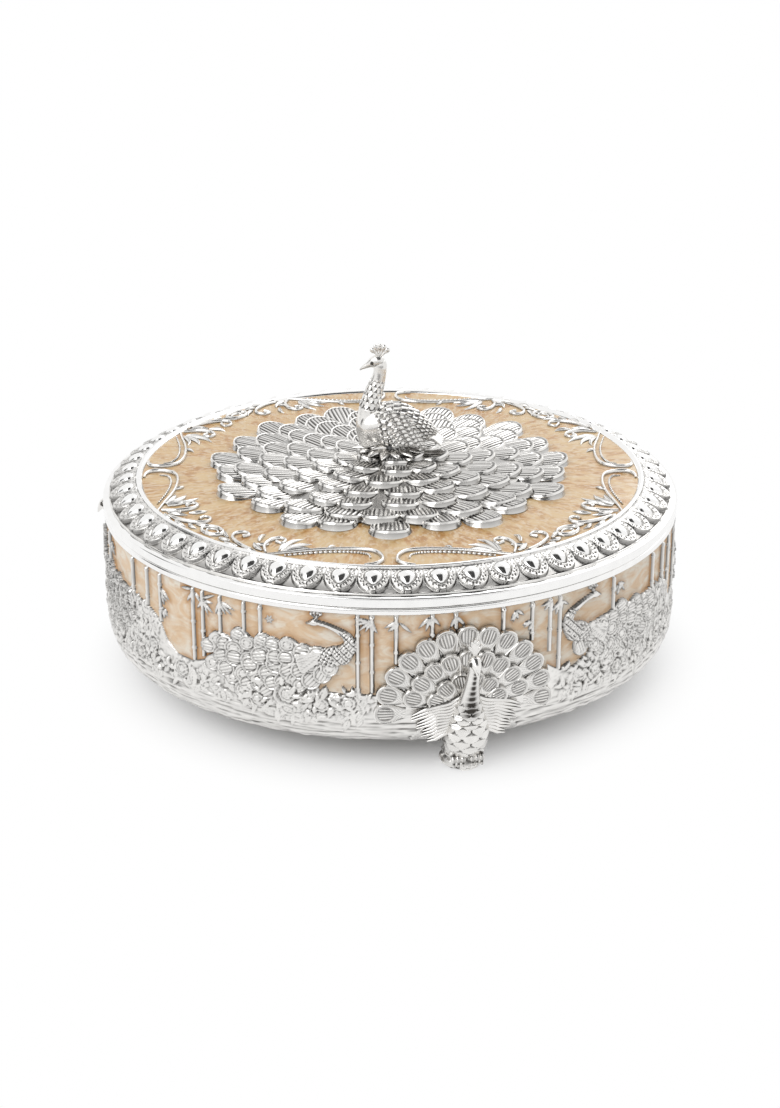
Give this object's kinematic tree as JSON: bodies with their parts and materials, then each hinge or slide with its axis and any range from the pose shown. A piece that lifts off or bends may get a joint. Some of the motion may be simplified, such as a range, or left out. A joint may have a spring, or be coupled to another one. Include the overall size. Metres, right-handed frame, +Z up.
{
  "type": "dry fruit box",
  "caption": "Round lidded serving box of enamelled, silver-plated metal on peacock feet, with a lift-off lid, a peacock knob and a lift-out tray of compartments.",
  "frame": {"origin": "centre of the bounding box in plan, at the height of the soles; the drum's axis stands 8.45 mm behind it", "axes": "+Z up, -Y towards foot 1, which is the foot nearest the picture's camera"},
  "size_m": [0.3022, 0.3198, 0.1675],
  "materials": {
    "silver_plate": "silver plate, satin with dark recesses",
    "polished_silver": "silver plate, polished",
    "pale_enamel": "pearl peach enamel",
    "amber_enamel": "translucent amber enamel",
    "felt": "felt",
    "steel": "plain"
  },
  "bodies": {
    "case": {"case_floor": "silver_plate", "case_wall": "silver_plate", "enamel_band": "pale_enamel", "felt_pad": "felt", "rim_bead": "polished_silver", "base_moulding": "silver_plate", "foot_screw_1": "steel", "foot_screw_2": "steel", "foot_screw_3": "steel", "foot_peacock_1": "silver_plate", "foot_peacock_2": "silver_plate", "foot_peacock_3": "silver_plate", "fan_relief_1": "silver_plate", "fan_relief_2": "silver_plate", "fan_relief_3": "silver_plate", "peacock_left_1": "silver_plate", "peacock_left_2": "silver_plate", "peacock_left_3": "silver_plate", "peacock_right_1": "silver_plate", "peacock_right_2": "silver_plate", "peacock_right_3": "silver_plate", "bamboo_1": "silver_plate", "bamboo_2": "silver_plate", "bamboo_3": "silver_plate", "peony_bank_1": "silver_plate", "peony_bank_2": "silver_plate", "peony_bank_3": "silver_plate"},
    "tray": {"tray_floor": "silver_plate", "tray_wall": "silver_plate", "tray_cup": "silver_plate", "tray_divider_1": "silver_plate", "tray_divider_2": "silver_plate", "tray_divider_3": "silver_plate", "tray_divider_4": "silver_plate"},
    "lid": {"rosette_dome": "silver_plate", "feather_ring_1": "silver_plate", "feather_ring_2": "silver_plate", "feather_ring_3": "silver_plate", "feather_ring_4": "silver_plate", "feather_ring_5": "silver_plate", "lid_band": "polished_silver", "lid_flange": "silver_plate", "lid_shell": "silver_plate", "enamel_disc": "amber_enamel", "egg_border": "silver_plate", "bead_ring": "silver_plate", "scroll_bracket_1": "silver_plate", "scroll_bracket_2": "silver_plate", "scroll_bracket_3": "silver_plate", "scroll_bracket_4": "silver_plate", "leaf_spray_1": "silver_plate", "leaf_spray_2": "silver_plate", "leaf_spray_3": "silver_plate", "leaf_spray_4": "silver_plate", "knob_peacock": "silver_plate", "knob_crest": "silver_plate", "knob_stud": "steel", "knob_washer": "steel", "knob_nut": "steel"}
  },
  "joints": [
    {"name": "tray_lift", "type": "slide", "parent": "case", "child": "tray", "axis": [0, 0, 1], "range_m": [0, 0.08]},
    {"name": "lid_lift", "type": "slide", "parent": "tray", "child": "lid", "axis": [0, 0, 1], "range_m": [0, 0.12]}
  ]
}
